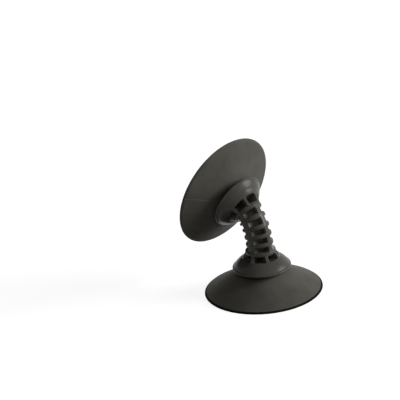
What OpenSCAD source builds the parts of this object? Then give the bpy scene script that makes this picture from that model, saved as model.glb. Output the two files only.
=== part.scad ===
// Suction cup phone holder: two rubber suction cups joined by a ribbed neck that bends and
// stays bent. The lower cup stands on the table with its centre at the origin and +Z up.
// The neck leans towards -Y, and the upper cup holds the phone on that side.

/* [Suction cups] */
// Outer diameter of each cup
cup_d = 40.8; // [34:0.1:50]
// Thickness of a cup at its rim
rim_t = 0.6; // [0.5:0.05:0.9]
// How far the rim's side slopes inwards from its foot
rim_bevel = 0.6; // [0.3:0.05:0.9]
// Height of the rim's upright foot
rim_foot = 0.1; // [0.05:0.05:0.2]
// Height of a free cup's back where the slope meets the hub
back_h = 7.5; // [6.8:0.1:7.8]
// Diameter of the flat round the hub, where the slope starts
back_flat_d = 15.6; // [14.5:0.1:18]
// How hollow the slope of the back is, from 1 for a straight cone
back_curve = 1.03; // [1:0.01:1.3]
// Width of the flat ring under the rim that seals on the surface
land_w = 2.8; // [1.5:0.1:5]
// Depth of the hollow under the lower cup, which stands free
dish_depth = 3.0; // [2.6:0.1:3.4]
// Depth of the hollow left under the upper cup, which is pressed on
pressed_dish_depth = 1.3; // [1:0.1:1.8]
// Diameter of the hub that carries the collar
hub_d = 11; // [10:0.1:12]
// Diameter of the stud that the hub holds the neck with
stud_d = 6.0; // [5.5:0.1:6.6]
// Length of the stud above the hub
stud_l = 1.3; // [1:0.1:1.5]

/* [Collars] */
// Diameter over a collar's lip
lip_d = 20.2; // [19:0.1:22]
// Thickness of the lip, which has a full round edge
lip_t = 0.9; // [0.7:0.1:1.1]
// Height of the lip's middle above the face of a free cup
lip_h = 8.8; // [8.6:0.1:9]
// Height of the collar's seat on the hub above the face of a free cup
seat_h = 9.8; // [9.6:0.1:9.9]
// Diameter of the bell where its pockets start
bell_top_d = 14.0; // [13:0.1:14.4]
// Height of the bell where its pockets start, above the face of a free cup
bell_top_h = 11.8; // [11.6:0.1:12.2]
// How far the bell's slope swells out over a straight line
bell_bulge = 0.25; // [0.05:0.05:0.5]
// Number of gussets between the bell and the root ring
gussets = 7; // [5:1:9]
// Thickness of a gusset
gusset_t = 1.1; // [0.8:0.1:1.4]
// Angle from +X to the first gusset
gusset_turn = 14; // [0:1:50]

/* [Neck] */
// Diameter of the neck's core between the rings
core_d = 5.4; // [4.8:0.1:6]
// Diameter over the rings
ring_d = 9.5; // [9.1:0.1:10]
// Diameter over the two root rings, which end the neck
root_ring_d = 10.5; // [10:0.1:11.2]
// Thickness of a ring, which has a full round edge
ring_t = 1.35; // [1:0.05:1.6]
// Number of rings, with the two root rings
rings = 6; // [5:1:7]
// Distance from the lower cup's face to the lower root ring, along the neck
root_s = 14.4; // [14:0.1:14.8]
// Distance between rings along the neck
ring_pitch = 2.85; // [2.65:0.05:2.95]
// Diameter over the lengthwise ribs, which end almost level with the rings
rib_d = 9.2; // [8.4:0.1:9.3]
// Width of the two side ribs, which the mould parts along
side_rib_w = 2.7; // [2:0.1:3]
// Width of the front and back ribs
face_rib_w = 1.7; // [1.4:0.1:2.6]
// Angle from +X to the first side rib
rib_turn = 6; // [0:1:20]

/* [Bend] */
// Number of bays between rings that lean gently, counted from the lower root ring
gentle_bays = 3; // [1:1:4]
// Angle that those bays turn through
gentle_a = 18.5; // [2:0.5:24]
// Radius of the tight bend that follows, up to the upper collar
tight_r = 11.05; // [10:0.05:13]
// Angle of the tight bend
tight_a = 45.2; // [40:0.1:50]
// Length of the neck's upper straight stretch, up to the face of a free cup
upper_straight = 11.4; // [11:0.1:11.6]
// How much further the upper cup leans than its hub
cup_lean = 7.7; // [0:0.1:9]
// Distance from the neck's upper end at which the hub gives way to that lean
cup_lean_h = 7.0; // [6:0.1:8]

/* [Wire] */
// Diameter of the soft wire that keeps the neck's bend
wire_d = 1.8; // [1.2:0.1:2.4]
// Distance from each cup's stud to the wire's end
wire_inset = 0.4; // [0.2:0.1:1]

/* [Fits] */
// Clearance all round a stud in its socket
stud_gap = 0.05; // [0.02:0.01:0.15]
// Clearance all round the wire in its channel
wire_gap = 0.02; // [0.02:0.01:0.1]

/* [Hidden] */
$fn = 72;

rubber = [0.24, 0.235, 0.22];
steel = [0.62, 0.62, 0.60];

cup_r = cup_d / 2;
hub_r = hub_d / 2;
back_flat_r = back_flat_d / 2;
slope_steps = 12;
rim_top_r = cup_r - rim_bevel;
dish_edge_r = cup_r - land_w;
hub_root_h = (back_h + dish_depth) / 2;
press = dish_depth - pressed_dish_depth;

lip_r = lip_d / 2 - lip_t / 2;
bell_top_r = bell_top_d / 2;
bell_steps = 8;
gusset_foot_r = bell_top_r + gusset_t / 2;
gusset_root_r = core_d / 4;
socket_l = stud_l + stud_gap;
recess_edge_r = lip_r - lip_t / 2;

root_ring_r = root_ring_d / 2;
gentle_r = gentle_bays * ring_pitch / gentle_a * 180 / PI;
tight_s = root_s + gentle_bays * ring_pitch;
straight_s = tight_s + tight_r * tight_a * PI / 180;
neck_l = straight_s + upper_straight;
last_ring_s = root_s + (rings - 1) * ring_pitch;
ring_bury = ring_t / 4;
wire_sides = 16;
wire_step = 1;
wire_start_s = seat_h + socket_l + wire_inset;
wire_end_s = neck_l - wire_start_s;

// Angle in degrees that an arc of radius r turns through over a length t
function turn(t, r) = t / r * 180 / PI;

// Place after a length t on an arc of radius r that starts at p, leaning a from upright
function on_arc(p, a, r, t) =
    p + r * [cos(a + turn(t, r)) - cos(a), sin(a + turn(t, r)) - sin(a)];

// Lean of the centreline from upright, towards -Y, at the distance s along it
function lean(s) =
    s <= root_s ? 0
    : s <= tight_s ? turn(s - root_s, gentle_r)
    : gentle_a + min(tight_a, turn(s - tight_s, tight_r));

// Y and Z of the centreline at the distance s along it
root_p = [0, root_s];
tight_p = on_arc(root_p, 0, gentle_r, tight_s - root_s);
straight_p = on_arc(tight_p, gentle_a, tight_r, straight_s - tight_s);
function centre(s) =
    s <= root_s ? [0, s]
    : s <= tight_s ? on_arc(root_p, 0, gentle_r, s - root_s)
    : s <= straight_s ? on_arc(tight_p, gentle_a, tight_r, s - tight_s)
    : straight_p + (s - straight_s) * [-sin(lean(s)), cos(lean(s))];

// Puts its children on the centreline at the distance s, with +Z along the neck
module along(s) {
    translate([0, centre(s)[0], centre(s)[1]]) rotate([lean(s), 0, 0]) children();
}

// Puts its children at the upper end, with +Z pointing back down the neck
module at_upper_end() {
    along(neck_l) rotate([180, 0, 0]) children();
}

// Sweeps its 2D children over a bend of radius r. They are drawn with X across the neck and
// Y towards the inside of the bend
module sweep_bend(r, from, to) {
    along(from) translate([0, -r, 0]) rotate([90, 0, 90])
        rotate_extrude(angle = turn(to - from, r))
            translate([r, 0]) rotate(90) children();
}

// A round rod along the centreline between two distances
module rod(d, from, to) {
    steps = ceil((to - from) / wire_step);
    points = [for (i = [0:steps]) let (s = from + (to - from) * i / steps)
        for (k = [0:wire_sides - 1])
            let (across = d / 2 * [cos(k * 360 / wire_sides), sin(k * 360 / wire_sides)])
            [across[0], centre(s)[0] + across[1] * cos(lean(s)),
             centre(s)[1] + across[1] * sin(lean(s))]];
    walls = [for (i = [0:steps - 1]) for (k = [0:wire_sides - 1])
        let (next = (k + 1) % wire_sides, low = i * wire_sides, high = low + wire_sides)
        [low + k, high + k, high + next, low + next]];
    ends = [[for (k = [0:wire_sides - 1]) k],
            [for (k = [wire_sides - 1:-1:0]) steps * wire_sides + k]];
    polyhedron(points, concat(walls, ends), convexity = 4);
}

// Height of a cup's back above its face at the radius r, when it is pressed flatter by give
function back_z(r, give) = rim_t + (back_h - give - rim_t)
    * pow((rim_top_r - r) / (rim_top_r - back_flat_r), back_curve);

// Depth of a cup's dish at the radius r, when it is pressed flatter by give
function dish_z(r, give) = (dish_depth - give) * (1 - pow(r / dish_edge_r, 2));

// The cup's disc: a thin rim, a gently hollow back and a shallow dish that seals below
module cup_disc(give = 0) {
    dish = [for (i = [0:slope_steps])
        let (r = i * dish_edge_r / slope_steps) [r, dish_z(r, give)]];
    rim = [[cup_r, 0], [cup_r, rim_foot]];
    slope = [for (i = [0:slope_steps])
        let (r = rim_top_r - i * (rim_top_r - back_flat_r) / slope_steps)
        [r, back_z(r, give)]];
    rotate_extrude() polygon(concat(dish, rim, slope, [[0, back_h - give]]));
}

// The hub on the cup's back, with the stud that goes into the collar's socket
module cup_hub() {
    translate([0, 0, hub_root_h]) cylinder(r = hub_r, h = seat_h - hub_root_h);
    translate([0, 0, hub_root_h])
        cylinder(d = stud_d, h = seat_h - hub_root_h + stud_l);
}

module lower_cup() {
    color(rubber) {
        cup_disc();
        cup_hub();
    }
}

module upper_cup() {
    color(rubber) at_upper_end() {
        translate([0, 0, cup_lean_h]) rotate([cup_lean, 0, 0])
            translate([0, 0, press - cup_lean_h]) cup_disc(press);
        cup_hub();
    }
}

// Outline of a collar: a full round lip, a slope that swells a little up to the pockets and
// a recess below that leaves the lip standing clear of the cup
module collar_outline() {
    foot = [lip_r, lip_h + lip_t / 2];
    slope = [bell_top_r, bell_top_h] - foot;
    outward = [slope[1], -slope[0]] / norm(slope);
    bell = [for (i = [0:bell_steps])
        let (t = i / bell_steps) foot + t * slope + 4 * t * (1 - t) * bell_bulge * outward];
    difference() {
        union() {
            polygon(concat([[0, lip_h - lip_t / 2], [lip_r, lip_h - lip_t / 2]], bell,
                           [[0, bell_top_h]]));
            translate([lip_r, lip_h]) circle(lip_t / 2);
        }
        polygon([[0, lip_h - lip_t], [recess_edge_r + lip_t / 2, lip_h - lip_t],
                 [recess_edge_r, lip_h - lip_t / 2],
                 [recess_edge_r - (seat_h - lip_h) - lip_t / 2, seat_h], [0, seat_h]]);
    }
}

// One gusset: a plate that stands on the bell and runs up to the root ring's edge
module gusset(azimuth, ring_point) {
    rotate([0, 0, azimuth]) rotate([90, 0, 0]) linear_extrude(gusset_t, center = true)
        polygon([[gusset_root_r, bell_top_h - gusset_t],
                 [gusset_foot_r, bell_top_h - gusset_t],
                 ring_point, [gusset_root_r, ring_point[1]]]);
}

// A collar with its gussets, with a side of 1 at the neck's lower end and -1 at its upper
// one. The root ring lies the distance ring_at from the end, and the neck starts to bend,
// with the radius bend_r, at the distance bend_at
module collar(side, ring_at, bend_at, bend_r) {
    bent = turn(max(0, ring_at - bend_at), bend_r);
    ring_y = bend_r * (1 - cos(bent));
    ring_z = min(ring_at, bend_at) + bend_r * sin(bent);
    rotate_extrude() collar_outline();
    for (i = [0:gussets - 1]) {
        azimuth = side * gusset_turn + i * 360 / gussets;
        across = root_ring_r - ring_t / 2;
        out = [across * cos(azimuth), ring_y + across * sin(azimuth) * cos(bent)];
        gusset(azimuth, [norm(out), ring_z - across * sin(azimuth) * sin(bent)]);
    }
}

// A ring of the neck, with a full round edge
module ring(outer_d) {
    rotate_extrude() {
        translate([0, -ring_t / 2]) square([(outer_d - ring_t) / 2, ring_t]);
        translate([(outer_d - ring_t) / 2, 0]) circle(ring_t / 2);
    }
}

// Section of the neck between its rings: the core and four lengthwise ribs
module ribbed_section() {
    circle(d = core_d);
    rotate(-rib_turn) intersection() {
        circle(d = rib_d);
        union() {
            square([rib_d, side_rib_w], center = true);
            square([face_rib_w, rib_d], center = true);
        }
    }
}

// Stretch of ribbed neck between the ring number i and the next, with its ends in the rings
module bay(i) {
    from = root_s + i * ring_pitch + ring_bury;
    sweep_bend(i < gentle_bays ? gentle_r : tight_r, from, from + ring_pitch - 2 * ring_bury)
        ribbed_section();
}

module neck() {
    color(rubber) difference() {
        union() {
            collar(1, root_s, root_s, gentle_r);
            at_upper_end() collar(-1, neck_l - last_ring_s, upper_straight, tight_r);
            translate([0, 0, bell_top_h - lip_t])
                cylinder(d = core_d, h = root_s - bell_top_h + lip_t);
            sweep_bend(tight_r, last_ring_s, straight_s) circle(d = core_d);
            for (i = [0:rings - 2]) bay(i);
            for (i = [0:rings - 1])
                along(root_s + i * ring_pitch)
                    ring(i == 0 || i == rings - 1 ? root_ring_d : ring_d);
        }
        socket();
        at_upper_end() socket();
        rod(wire_d + 2 * wire_gap, wire_start_s - lip_t, wire_end_s + lip_t);
    }
}

// Socket in a collar for the cup's stud
module socket() {
    translate([0, 0, seat_h - lip_t])
        cylinder(d = stud_d + 2 * stud_gap, h = socket_l + lip_t);
}

module core_wire() {
    color(steel) rod(wire_d, wire_start_s, wire_end_s);
}

lower_cup();
neck();
core_wire();
upper_cup();
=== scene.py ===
# Looks of the suction cup phone holder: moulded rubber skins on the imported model, a plain
# pale studio and the photograph's camera. Shapes are worked out in millimetres.
import math

import bmesh
import bpy
import numpy as np
from mathutils import Matrix, Vector


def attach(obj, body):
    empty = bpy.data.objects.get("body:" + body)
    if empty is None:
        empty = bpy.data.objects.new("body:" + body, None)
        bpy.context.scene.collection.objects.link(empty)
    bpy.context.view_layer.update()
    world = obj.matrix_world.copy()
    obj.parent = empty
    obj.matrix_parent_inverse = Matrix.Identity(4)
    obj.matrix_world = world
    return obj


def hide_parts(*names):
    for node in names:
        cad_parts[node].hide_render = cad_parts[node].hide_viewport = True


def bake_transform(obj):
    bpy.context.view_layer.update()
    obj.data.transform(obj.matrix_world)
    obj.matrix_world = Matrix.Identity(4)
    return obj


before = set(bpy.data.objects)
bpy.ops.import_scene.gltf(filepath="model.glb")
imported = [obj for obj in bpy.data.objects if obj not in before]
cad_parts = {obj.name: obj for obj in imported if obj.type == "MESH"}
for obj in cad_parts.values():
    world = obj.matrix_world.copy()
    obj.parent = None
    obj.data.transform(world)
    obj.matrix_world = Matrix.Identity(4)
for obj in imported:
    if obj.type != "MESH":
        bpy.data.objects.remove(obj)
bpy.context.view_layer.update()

MM = 0.001

# Suction cups, in millimetres, as the model has them
CUP_R = 20.4
RIM_T = 0.6
RIM_BEVEL = 0.6
RIM_FOOT = 0.1
BACK_H = 7.5
BACK_FLAT_R = 7.8
BACK_CURVE = 1.03
LAND_W = 2.8
DISH_DEPTH = 3.0
PRESS = 1.7
HUB_R = 5.5
HUB_FILLET = 0.7
SEAT_H = 9.8
CUP_LEAN = math.radians(7.7)
CUP_LEAN_H = 7.0

# What only the render has: the end of the upper hub that doesn't give way, and the small
# rounded edges at the dish's shoulder, the rim's foot and between its bevel and the back
HUB_STIFF_L = 0.2
DISH_SHOULDER_W = 0.3
FOOT_EDGE = 0.05
BEVEL_EDGE_W = 0.06
BEVEL_EDGE_H = 0.07
BACK_EDGE_W = 0.02

# Collars. Their shoulders are narrower and higher than the model's, and the gussets taper
LIP_R = 10.1
LIP_T = 0.9
LIP_H = 8.8
BELL_TOP_R = 6.5
BELL_TOP_H = 12.2
BELL_BULGE = 0.25
BELL_WALL = 0.5
POCKET_DEPTH = 0.5
GUSSETS = 7
GUSSET_T = 1.0
GUSSET_ROOT_T = 2.0
GUSSET_TURN = math.radians(14)
GUSSET_SINK = 0.5

# Ribbed neck
CORE_R = 2.5
CORE_SINK = 1.0
RING_R = 4.75
ROOT_RING_R = 5.25
RING_T = 1.35
RING_EDGE = 0.42
RINGS = 6
ROOT_S = 14.4
PITCH = 2.85
RIB_R = 4.7
SIDE_RIB_W = 2.7
FACE_RIB_W = 1.7
RIB_TURN = math.radians(6)
WIRE_R = 0.9
WIRE_END_R = 0.765
WIRE_START_S = 11.55

# The neck's centreline: straight, then three bays that lean gently, then a tight bend
GENTLE_BAYS = 3
GENTLE_A = math.radians(18.5)
TIGHT_R = 11.05
TIGHT_A = math.radians(45.2)
UPPER_STRAIGHT = 11.4
GENTLE_L = GENTLE_BAYS * PITCH
GENTLE_R = GENTLE_L / GENTLE_A
TIGHT_S = ROOT_S + GENTLE_L
STRAIGHT_S = TIGHT_S + TIGHT_R * TIGHT_A
NECK_L = STRAIGHT_S + UPPER_STRAIGHT

# Where the neck's halves meet, in the middle of its third bay
CUT_BAYS = 2.5
CUT_S = ROOT_S + CUT_BAYS * PITCH

# The skin of the neck: how finely its shells are melted together, and how much softened
VOXEL = 0.135
SOFTEN = 0.5
SOFTEN_TIMES = 3
CUT_TOLERANCE = 1e-5

# How many columns a turned shape has, and how many points its stretches have
CUP_COLUMNS = 256
BELL_COLUMNS = 160
RING_COLUMNS = 96
CORE_COLUMNS = 48
WIRE_COLUMNS = 24
DISH_POINTS = 16
BACK_POINTS = 28
SLOPE_POINTS = 12
WIRE_POINTS = 24
ROUND_POINTS = 7
RING_EDGE_POINTS = 6
LIP_POINTS = 9
HUB_POINTS = 5

# The mould's parting plane, as an angle about the neck's own axis
PARTING_A = math.radians(12)
PARTING_W = 0.16
PARTING_SOFT = 0.5
SEAM_FROM = 15.0
SEAM_FULL = 24.0
SEAM_RISE = 0.06

# Finishes: the span that noise mostly stays in, the moulded rubber's clouds, wiped patches and
# grain, the smooth face's clouds and smudges, and the wire's wear
NOISE_SPAN = (0.3, 0.7)
CLOUD_SIZE = 7
CLOUD_SHADE = (0.86, 1.14)
WIPED_SIZE = 3
WIPED_LESS = 0.06
WIPED_MORE = 0.08
GRAIN_SIZE = 0.18
GRAIN_RISE = 0.03
GRAIN_STRENGTH = 0.35
FACE_CLOUD_SIZE = 9
FACE_CLOUD_SHADE = (0.92, 1.08)
SMUDGE_SIZE = 5
SMUDGE_MORE = 0.16
SMUDGE_SPAN = (0.4, 0.7)
WIRE_COLOUR = (0.62, 0.62, 0.60, 1)
WIRE_WEAR_SIZE = 1.1
WIRE_ROUGH = (0.3, 0.5)


def smooth_step(t):
    """0 before t 0, 1 after t 1 and a smooth rise in between."""
    t = np.clip(t, 0.0, 1.0)
    return t * t * (3 - 2 * t)


def centreline(s):
    """Y, Z and lean of the neck's centreline at the distances s from the lower cup's face."""
    gentle = np.clip(s - ROOT_S, 0, GENTLE_L) / GENTLE_R
    lean = gentle + np.clip(s - TIGHT_S, 0, TIGHT_R * TIGHT_A) / TIGHT_R
    past = np.maximum(s - STRAIGHT_S, 0)
    y = (GENTLE_R * (np.cos(gentle) - 1) + TIGHT_R * (np.cos(lean) - np.cos(gentle))
         - past * np.sin(lean))
    z = (np.minimum(s, ROOT_S) + GENTLE_R * np.sin(gentle)
         + TIGHT_R * (np.sin(lean) - np.sin(gentle)) + past * np.cos(lean))
    return y, z, lean


def bend_points(points):
    """Points of the straight holder, as x, y and distance along it, put where it is bent to."""
    x, y, s = points.T
    centre_y, centre_z, lean = centreline(s)
    return np.column_stack([x, centre_y + y * np.cos(lean), centre_z + y * np.sin(lean)])


def add_piece(name, points, faces, straight, materials, marks=None):
    """A smooth shaded object from points in millimetres. Its materials follow the straight
    holder, whose points it keeps as an attribute."""
    mesh = bpy.data.meshes.new(name)
    mesh.from_pydata((np.asarray(points) * MM).tolist(), [], faces)
    keep_straight(mesh, straight)
    for material in materials:
        mesh.materials.append(material)
    if marks is not None:
        mesh.polygons.foreach_set("material_index", marks)
    mesh.shade_smooth()
    thing = bpy.data.objects.new(name, mesh)
    bpy.context.scene.collection.objects.link(thing)
    return thing


def keep_straight(mesh, straight):
    """Keeps the points of the straight holder, in metres, for the materials."""
    space = mesh.attributes.new("mould_space", "FLOAT_VECTOR", "POINT")
    space.data.foreach_set("vector", (np.asarray(straight) * MM).ravel())


def lathe(profile, columns):
    """Points and faces of a solid of revolution. The profile runs from axis to axis, and the
    faces come in its order, with one row of columns for each of its stretches."""
    points, faces, rows = [], [], []
    for r, h in profile:
        if r == 0:
            rows.append([len(points)] * columns)
            points.append((0, 0, h))
        else:
            rows.append(list(range(len(points), len(points) + columns)))
            points += [(r * math.cos(a), r * math.sin(a), h)
                       for a in np.linspace(0, 2 * math.pi, columns, endpoint=False)]
    for low, high in zip(rows, rows[1:]):
        for i in range(columns):
            j = (i + 1) % columns
            face = [low[i], low[j], high[j], high[i]]
            faces.append([p for k, p in enumerate(face) if p != face[k - 1]])
    return points, faces


def arc(centre, radius, start, end, count=ROUND_POINTS):
    """Points of a round stretch of a profile, with angles in degrees from +r."""
    return [(centre[0] + radius * math.cos(math.radians(a)),
             centre[1] + radius * math.sin(math.radians(a)))
            for a in np.linspace(start, end, count)]


def prism(outline, low, high, turn=0.0):
    """A closed prism: an outline in X and Y, extruded from low to high and turned about Z."""
    n = len(outline)
    c, s = math.cos(turn), math.sin(turn)
    flat = [(c * x - s * y, s * x + c * y) for x, y in outline]
    points = [(x, y, low) for x, y in flat] + [(x, y, high) for x, y in flat]
    faces = [[i, (i + 1) % n, (i + 1) % n + n, i + n] for i in range(n)]
    return points, faces + [list(range(n - 1, -1, -1)), list(range(n, 2 * n))]


def join(shells):
    """Points and faces of several closed shells taken as one mesh."""
    points, faces = [], []
    for shell_points, shell_faces in shells:
        faces += [[i + len(points) for i in face] for face in shell_faces]
        points += [tuple(p) for p in shell_points]
    return points, faces


# Materials

def add_node(material, kind, links=(), operation=None, **values):
    """A node with its inputs set by name, and linked from other sockets."""
    made = material.node_tree.nodes.new(kind)
    if operation:
        made.operation = operation
    for name, value in values.items():
        made.inputs[name.replace("_", " ")].default_value = value
    for name, socket in dict(links).items():
        material.node_tree.links.new(socket, made.inputs[name])
    return made


def spread(material, value, low, high, from_low=0.0, from_high=1.0):
    """A value in the range from_low to from_high, mapped to low to high."""
    made = add_node(material, "ShaderNodeMapRange", {"Value": value}, From_Min=from_low,
                    From_Max=from_high, To_Min=low, To_Max=high)
    return made.outputs["Result"]


def noise(material, where, size, detail=3.0):
    """Noise with features of about size millimetres."""
    made = add_node(material, "ShaderNodeTexNoise", {"Vector": where},
                    Scale=1 / (size * MM), Detail=detail)
    return made.outputs["Fac"]


def rubber(name, colour, rough, sheen, painted_glint_gain):
    """Dark moulded rubber: cloudy shade, wiped patches, a fine grain from the mould and a
    raised parting line where its halves met, whose paler colour is a painted highlight
    of light caught on its ridge."""
    material = bpy.data.materials.new(name)
    material.use_nodes = True
    links = material.node_tree.links
    shader = material.node_tree.nodes["Principled BSDF"]
    shader.inputs["Specular IOR Level"].default_value = sheen
    where = add_node(material, "ShaderNodeAttribute")
    where.attribute_name = "mould_space"
    where = where.outputs["Vector"]

    across = add_node(material, "ShaderNodeVectorMath", {0: where}, "DOT_PRODUCT")
    across.inputs[1].default_value = (-math.sin(PARTING_A), math.cos(PARTING_A), 0)
    away = add_node(material, "ShaderNodeMath", {0: across.outputs["Value"]}, "ABSOLUTE")
    half = PARTING_W / 2 * MM
    seam = spread(material, away.outputs[0], 1.0, 0.0,
                  half * (1 - PARTING_SOFT), half * (1 + PARTING_SOFT))
    split = add_node(material, "ShaderNodeSeparateXYZ", {0: where})
    shown = spread(material, split.outputs["Z"], 0.0, 1.0, SEAM_FROM * MM, SEAM_FULL * MM)
    line = add_node(material, "ShaderNodeMath", {0: seam, 1: shown}, "MULTIPLY").outputs[0]

    cloud = spread(material, noise(material, where, CLOUD_SIZE, detail=4), *CLOUD_SHADE,
                   *NOISE_SPAN)
    # Painted highlight: the gain makes the parting line's colour paler, for light caught on its
    # ridge
    gain = spread(material, line, 1.0, painted_glint_gain)
    shade = add_node(material, "ShaderNodeMath", {0: cloud, 1: gain}, "MULTIPLY")
    tint = add_node(material, "ShaderNodeVectorMath", {3: shade.outputs[0]}, "SCALE")
    tint.inputs[0].default_value = colour
    links.new(tint.outputs["Vector"], shader.inputs["Base Color"])

    wiped = spread(material, noise(material, where, WIPED_SIZE), rough - WIPED_LESS,
                   rough + WIPED_MORE, *NOISE_SPAN)
    links.new(wiped, shader.inputs["Roughness"])

    grain = add_node(material, "ShaderNodeBump", {"Height": noise(material, where, GRAIN_SIZE)},
                     Strength=GRAIN_STRENGTH, Distance=GRAIN_RISE * MM)
    ridge = add_node(material, "ShaderNodeBump",
                    {"Height": line, "Normal": grain.outputs["Normal"]},
                    Strength=1.0, Distance=SEAM_RISE * MM)
    links.new(ridge.outputs["Normal"], shader.inputs["Normal"])
    return material


def polished(name, colour, rough):
    """The cup's smooth face, which seals: faint clouds, and smudges in its gloss."""
    material = bpy.data.materials.new(name)
    material.use_nodes = True
    shader = material.node_tree.nodes["Principled BSDF"]
    where = add_node(material, "ShaderNodeAttribute")
    where.attribute_name = "mould_space"
    where = where.outputs["Vector"]
    cloud = spread(material, noise(material, where, FACE_CLOUD_SIZE, detail=2),
                   *FACE_CLOUD_SHADE, *NOISE_SPAN)
    tint = add_node(material, "ShaderNodeVectorMath", {3: cloud}, "SCALE")
    tint.inputs[0].default_value = colour
    smudge = spread(material, noise(material, where, SMUDGE_SIZE, detail=4), rough,
                    rough + SMUDGE_MORE, *SMUDGE_SPAN)
    material.node_tree.links.new(tint.outputs["Vector"], shader.inputs["Base Color"])
    material.node_tree.links.new(smudge, shader.inputs["Roughness"])
    return material


def wire_metal():
    """Dull soft wire, which only a cut through the neck would show."""
    material = bpy.data.materials.new("soft_wire")
    material.use_nodes = True
    shader = material.node_tree.nodes["Principled BSDF"]
    shader.inputs["Metallic"].default_value = 1.0
    shader.inputs["Base Color"].default_value = WIRE_COLOUR
    where = add_node(material, "ShaderNodeAttribute")
    where.attribute_name = "mould_space"
    dull = spread(material, noise(material, where.outputs["Vector"], WIRE_WEAR_SIZE), *WIRE_ROUGH)
    material.node_tree.links.new(dull, shader.inputs["Roughness"])
    return material


# Suction cups

def cup_profile(press):
    """A cup from the middle of its dish round the rim and up to the hub's seat, at the heights
    that its collar stands at. Each point's mark names the material of the stretch after it:
    0 for the moulded back, 1 for the rim's side and 2 for the smooth face."""
    edge_r = CUP_R - LAND_W
    depth = DISH_DEPTH - press
    dish = [(r, press + depth * (1 - (r / edge_r) ** 2))
            for r in np.linspace(0, edge_r, DISH_POINTS)]
    land = [(edge_r + DISH_SHOULDER_W, press)]
    rim = [(CUP_R - FOOT_EDGE, press), (CUP_R, press + FOOT_EDGE), (CUP_R, press + RIM_FOOT)]
    top_r = CUP_R - RIM_BEVEL
    rim += [(top_r + BEVEL_EDGE_W, press + RIM_T - BEVEL_EDGE_H)]
    back = [(top_r - BACK_EDGE_W, press + RIM_T)]
    for t in np.linspace(0, 1, BACK_POINTS)[1:]:
        r = top_r + (BACK_FLAT_R - top_r) * t
        back.append((r, press + RIM_T + (BACK_H - press - RIM_T) * t ** BACK_CURVE))
    back += arc((HUB_R + HUB_FILLET, BACK_H + HUB_FILLET), HUB_FILLET, 270, 180)
    back += [(HUB_R, h) for h in np.linspace(BACK_H + HUB_FILLET, SEAT_H, HUB_POINTS)[1:]]
    marks = [2] * len(dish + land) + [1] * len(rim) + [0] * len(back)
    return dish + land + rim + back + [(0, SEAT_H)], marks


def make_cup(name, upper, materials):
    """One suction cup. The upper one is pressed on, and its hub gives way, so that its disc
    leans further than its collar."""
    profile, marks = cup_profile(PRESS if upper else 0.0)
    points, faces = lathe(profile, CUP_COLUMNS)
    marks = np.repeat(marks, CUP_COLUMNS)
    points = np.array(points)
    if not upper:
        return add_piece(name, points, faces, points, materials, marks)
    x, y, h = points.T
    stiff_h = SEAT_H - HUB_STIFF_L
    give = CUP_LEAN * smooth_step((stiff_h - h) / (stiff_h - BACK_H))
    h = h - CUP_LEAN_H
    leaned = np.column_stack([x, h * np.sin(give) - y * np.cos(give),
                              NECK_L - CUP_LEAN_H - y * np.sin(give) - h * np.cos(give)])
    straight = np.column_stack([x, -y, NECK_L - points[:, 2]])
    return add_piece(name, bend_points(leaned), faces, straight, materials, marks)


def make_cups():
    # The parting line gain of each rubber is a painted highlight on the line's ridge
    back = rubber("cup_back", colour=(0.086, 0.083, 0.072), rough=0.6, sheen=0.05,
                  painted_glint_gain=1.9)
    # Painted shade: the lower cup's rim side is near-black, for the contact shadow where it
    # stands on the table; the upper cup's rim keeps the back's rubber
    shaded = rubber("lower_rim_painted_shade", colour=(0.010, 0.010, 0.009), rough=0.8, sheen=0.02,
                    painted_glint_gain=1.0)
    face = polished("cup_face", colour=(0.050, 0.049, 0.042), rough=0.26)
    for name, body, upper in (("lower_cup", "base", False), ("upper_cup", "head", True)):
        cup = make_cup(name + "_rubber", upper, [back, back if upper else shaded, face])
        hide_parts(name)
        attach(cup, body)


# Neck

def bell_profile():
    """A collar from its socket out under the lip, up the swelling slope to its edge and down
    to the floor of the pockets."""
    lip_c = LIP_R - LIP_T / 2
    foot = np.array([lip_c, LIP_H + LIP_T / 2])
    slope = np.array([BELL_TOP_R, BELL_TOP_H]) - foot
    outward = np.array([slope[1], -slope[0]]) / np.hypot(*slope)
    rise = [tuple(foot + slope * t + outward * BELL_BULGE * 4 * t * (1 - t))
            for t in np.linspace(0, 1, SLOPE_POINTS)]
    pocket = [(BELL_TOP_R - BELL_WALL, BELL_TOP_H),
              (BELL_TOP_R - BELL_WALL - POCKET_DEPTH / 2, BELL_TOP_H - POCKET_DEPTH)]
    recess_r = LIP_R - LIP_T - (SEAT_H - LIP_H) - LIP_T / 2
    return ([(0, SEAT_H), (recess_r, SEAT_H), (LIP_R - LIP_T, LIP_H - LIP_T / 2)]
            + arc((lip_c, LIP_H), LIP_T / 2, -90, 90, LIP_POINTS) + rise[1:] + pocket
            + [(0, BELL_TOP_H - POCKET_DEPTH)])


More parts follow.
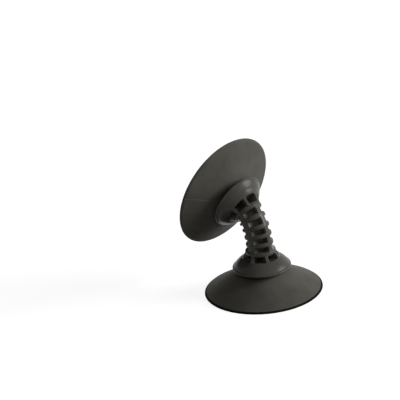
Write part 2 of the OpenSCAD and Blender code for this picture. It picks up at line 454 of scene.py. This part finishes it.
def gusset_shells():
    """The lower collar's gussets, from the bell up to the root ring. They get thicker towards
    the core, so that the pockets between them narrow inwards."""
    rows = [(SEAT_H + GUSSET_SINK, BELL_TOP_R), (BELL_TOP_H, BELL_TOP_R), (ROOT_S, ROOT_RING_R)]
    shells = []
    for i in range(GUSSETS):
        a = GUSSET_TURN + 2 * math.pi * i / GUSSETS
        out = np.array([math.cos(a), math.sin(a)])
        side = np.array([-out[1], out[0]])
        points, faces = [], []
        for h, edge_r in rows:
            for r, half in ((0, GUSSET_ROOT_T / 2), (CORE_R, GUSSET_ROOT_T / 2),
                            (edge_r, GUSSET_T / 2)):
                points.append((*(out * r - side * half), h))
            for r, half in ((edge_r, GUSSET_T / 2), (CORE_R, GUSSET_ROOT_T / 2),
                            (0, GUSSET_ROOT_T / 2)):
                points.append((*(out * r + side * half), h))
        n = len(points) // len(rows)
        for row in range(len(rows) - 1):
            faces += [[row * n + k, row * n + (k + 1) % n, (row + 1) * n + (k + 1) % n,
                       (row + 1) * n + k] for k in range(n)]
        last = len(points) - n
        shells.append((points, faces + [list(range(n))[::-1], list(range(last, last + n))]))
    return shells


def mirrored(shell):
    """A shell of the lower end, turned over to serve the neck's upper end."""
    points, faces = shell
    return [(x, y, NECK_L - s) for x, y, s in points], [face[::-1] for face in faces]


def ring_shell(s, outer_r):
    """A ring of the neck with rounded edges."""
    low, high = s - RING_T / 2, s + RING_T / 2
    edge_r = outer_r - RING_EDGE
    edge = (arc((edge_r, low + RING_EDGE), RING_EDGE, -90, 0, RING_EDGE_POINTS)
            + arc((edge_r, high - RING_EDGE), RING_EDGE, 0, 90, RING_EDGE_POINTS))
    return lathe([(0, low)] + edge + [(0, high)], RING_COLUMNS)


def rib_shell(width, turn):
    """A pair of lengthwise ribs, as one bar through the core with a round crest."""
    crest_a = math.degrees(math.asin(width / 2 / RIB_R))
    crest = arc((0, 0), RIB_R, -crest_a, crest_a)
    outline = crest + [(-x, -y) for x, y in crest]
    return prism(outline, ROOT_S, ROOT_S + (RINGS - 1) * PITCH, turn)


def neck_shells():
    """All the shells that the straight neck is melted together from."""
    lower_end = [lathe(bell_profile(), BELL_COLUMNS)] + gusset_shells()
    circle = arc((0, 0), CORE_R, 0, 360 - 360 / CORE_COLUMNS, CORE_COLUMNS)
    core_start = SEAT_H + CORE_SINK
    core = prism(circle, core_start, NECK_L - core_start)
    rings = [ring_shell(ROOT_S + i * PITCH, ROOT_RING_R if i in (0, RINGS - 1) else RING_R)
             for i in range(RINGS)]
    ribs = [rib_shell(SIDE_RIB_W, RIB_TURN), rib_shell(FACE_RIB_W, RIB_TURN + math.pi / 2)]
    return lower_end + [mirrored(shell) for shell in lower_end] + [core] + rings + ribs


def melted(shells):
    """The shells melted into one skin with soft inside corners, as a mesh in millimetres."""
    mesh = bpy.data.meshes.new("shells")
    points, faces = join(shells)
    mesh.from_pydata(points, [], faces)
    rough = bpy.data.objects.new("shells", mesh)
    bpy.context.scene.collection.objects.link(rough)
    remesh = rough.modifiers.new("melt", "REMESH")
    remesh.mode = "VOXEL"
    remesh.voxel_size = VOXEL
    soften = rough.modifiers.new("soften", "SMOOTH")
    soften.factor = SOFTEN
    soften.iterations = SOFTEN_TIMES
    bpy.context.view_layer.update()
    graph = bpy.context.evaluated_depsgraph_get()
    skin = bpy.data.meshes.new_from_object(rough.evaluated_get(graph))
    bpy.data.objects.remove(rough)
    return skin


def half_of(skin, keep_above, name, material):
    """One half of the straight neck's skin, cut and closed at CUT_S, then bent into place."""
    work = bmesh.new()
    work.from_mesh(skin)
    cut = bmesh.ops.bisect_plane(
        work, geom=work.verts[:] + work.edges[:] + work.faces[:], dist=CUT_TOLERANCE,
        plane_co=(0, 0, CUT_S), plane_no=(0, 0, 1),
        clear_inner=keep_above, clear_outer=not keep_above)
    rim = [e for e in cut["geom_cut"] if isinstance(e, bmesh.types.BMEdge)]
    bmesh.ops.triangle_fill(work, edges=rim, use_beauty=True)
    bmesh.ops.recalc_face_normals(work, faces=work.faces[:])
    for face in work.faces:
        face.smooth = True
    for edge in rim:
        edge.smooth = False
    mesh = bpy.data.meshes.new(name)
    work.to_mesh(mesh)
    work.free()
    straight = np.zeros(len(mesh.vertices) * 3)
    mesh.vertices.foreach_get("co", straight)
    straight = straight.reshape(-1, 3)
    mesh.vertices.foreach_set("co", (bend_points(straight) * MM).ravel())
    keep_straight(mesh, straight)
    mesh.materials.append(material)
    mesh.update()
    thing = bpy.data.objects.new(name, mesh)
    bpy.context.scene.collection.objects.link(thing)
    return thing, straight[:, 2]


def follow_neck(thing):
    """Bakes a half's placement into its points."""
    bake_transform(thing)


def make_neck():
    skin = melted(neck_shells())
    # The parting line gain is a painted highlight on the line's ridge
    neck_rubber = rubber("neck_rubber", colour=(0.064, 0.061, 0.053), rough=0.28, sheen=0.11,
                         painted_glint_gain=1.8)
    for name, above in (("neck_lower_half", False), ("neck_upper_half", True)):
        half, along = half_of(skin, above, name, neck_rubber)
        follow_neck(half)
        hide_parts("neck")


def make_wire():
    metal = wire_metal()
    for name, above, low, high in (("wire_lower_half", False, WIRE_START_S, CUT_S),
                                   ("wire_upper_half", True, CUT_S, NECK_L - WIRE_START_S)):
        side = [(WIRE_R, s) for s in np.linspace(low, high, WIRE_POINTS)[1:-1]]
        profile = [(0, low), (WIRE_END_R, low)] + side + [(WIRE_END_R, high), (0, high)]
        points, faces = lathe(profile, WIRE_COLUMNS)
        points = np.array(points)
        half = add_piece(name, bend_points(points), faces, points, [metal])
        follow_neck(half)
        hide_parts("core_wire")


# Camera of the photograph, in metres, with its focal length in millimetres
CAMERA_PLACE = (0.3102, 0.3260, 0.2111)
CAMERA_AIM = (0.0068, -0.0209, 0.0305)
CAMERA_ROLL = math.radians(-5.67)
CAMERA_LENS = 129.15
CAMERA_NEAR = 0.01
CAMERA_FAR = 10


def make_camera():
    lens = bpy.data.cameras.new("camera")
    lens.lens = CAMERA_LENS
    lens.clip_start = CAMERA_NEAR
    lens.clip_end = CAMERA_FAR
    camera = bpy.data.objects.new("camera", lens)
    bpy.context.scene.collection.objects.link(camera)
    toward = (Vector(CAMERA_AIM) - Vector(CAMERA_PLACE)).normalized()
    level = toward.cross(Vector((0, 0, 1))).normalized()
    right = level * math.cos(CAMERA_ROLL) + level.cross(toward) * math.sin(CAMERA_ROLL)
    turn = Matrix((right, right.cross(toward), -toward)).transposed()
    camera.matrix_world = Matrix.Translation(CAMERA_PLACE) @ turn.to_4x4()
    bpy.context.scene.camera = camera


# Studio. Each lamp has a place in metres, a diameter and a power in watts
LAMP_AIM = (0, -0.005, 0.025)
LAMPS = {"key": ((-0.72, 0.72, 0.40), 0.60, 12.6),
         "back": ((-0.66, -0.66, 0.56), 0.25, 2.2),
         "fill": ((0.60, 0.40, 0.80), 0.60, 1.0)}
WORLD_LEVEL = 0.055
WORLD_TINT = (1.0, 0.99, 0.97, 1)
WHITE = (1, 1, 1, 1)
FLOOR_REACH = 3.0
FLOOR_SHADE = 0.4
FLOOR_ROUGH = 0.9
FLOOR_GLOSS = 0.1
FLOOR_LIFT = 0.82


def make_lamps():
    for name, (place, size, power) in LAMPS.items():
        lamp = bpy.data.lights.new(name, "AREA")
        lamp.shape = "DISK"
        lamp.size = size
        lamp.energy = power
        thing = bpy.data.objects.new(name, lamp)
        thing.location = place
        aim = Vector(LAMP_AIM) - Vector(place)
        thing.rotation_euler = aim.to_track_quat("-Z", "Y").to_euler()
        bpy.context.scene.collection.objects.link(thing)


def direct_view(material):
    """1 for what the camera sees straight or in gloss and glass, 0 for what lights things."""
    path = add_node(material, "ShaderNodeLightPath")
    seen = path.outputs["Is Camera Ray"]
    for kind in ("Is Glossy Ray", "Is Transmission Ray"):
        seen = add_node(material, "ShaderNodeMath", {0: seen, 1: path.outputs[kind]},
                        "MAXIMUM").outputs[0]
    return seen


def make_world():
    """A dim even light on the holder, behind which the camera sees plain white."""
    world = bpy.data.worlds.new("studio")
    world.use_nodes = True
    bpy.context.scene.world = world
    links = world.node_tree.links
    dim = world.node_tree.nodes["Background"]
    dim.inputs["Color"].default_value = WORLD_TINT
    dim.inputs["Strength"].default_value = WORLD_LEVEL
    white = add_node(world, "ShaderNodeBackground", Strength=1.0, Color=WHITE)
    mix = add_node(world, "ShaderNodeMixShader",
                   {0: direct_view(world), 1: dim.outputs[0], 2: white.outputs[0]})
    links.new(mix.outputs[0], world.node_tree.nodes["World Output"].inputs["Surface"])


def make_floor():
    """A plain pale floor. The camera sees it lifted to white, with the holder's shadow."""
    mesh = bpy.data.meshes.new("floor")
    far = FLOOR_REACH
    mesh.from_pydata([(-far, -far, 0), (far, -far, 0), (far, far, 0), (-far, far, 0)], [],
                     [[0, 1, 2, 3]])
    floor = bpy.data.objects.new("floor", mesh)
    bpy.context.scene.collection.objects.link(floor)
    paint = bpy.data.materials.new("floor")
    paint.use_nodes = True
    shader = paint.node_tree.nodes["Principled BSDF"]
    shader.inputs["Base Color"].default_value = (FLOOR_SHADE, FLOOR_SHADE, FLOOR_SHADE, 1)
    shader.inputs["Roughness"].default_value = FLOOR_ROUGH
    shader.inputs["Specular IOR Level"].default_value = FLOOR_GLOSS
    shader.inputs["Emission Color"].default_value = WHITE
    lift = spread(paint, direct_view(paint), 0.0, FLOOR_LIFT)
    paint.node_tree.links.new(lift, shader.inputs["Emission Strength"])
    mesh.materials.append(paint)


make_camera()
make_lamps()
make_world()
make_floor()
make_cups()
make_neck()
make_wire()

bpy.context.scene.view_settings.view_transform = "Standard"
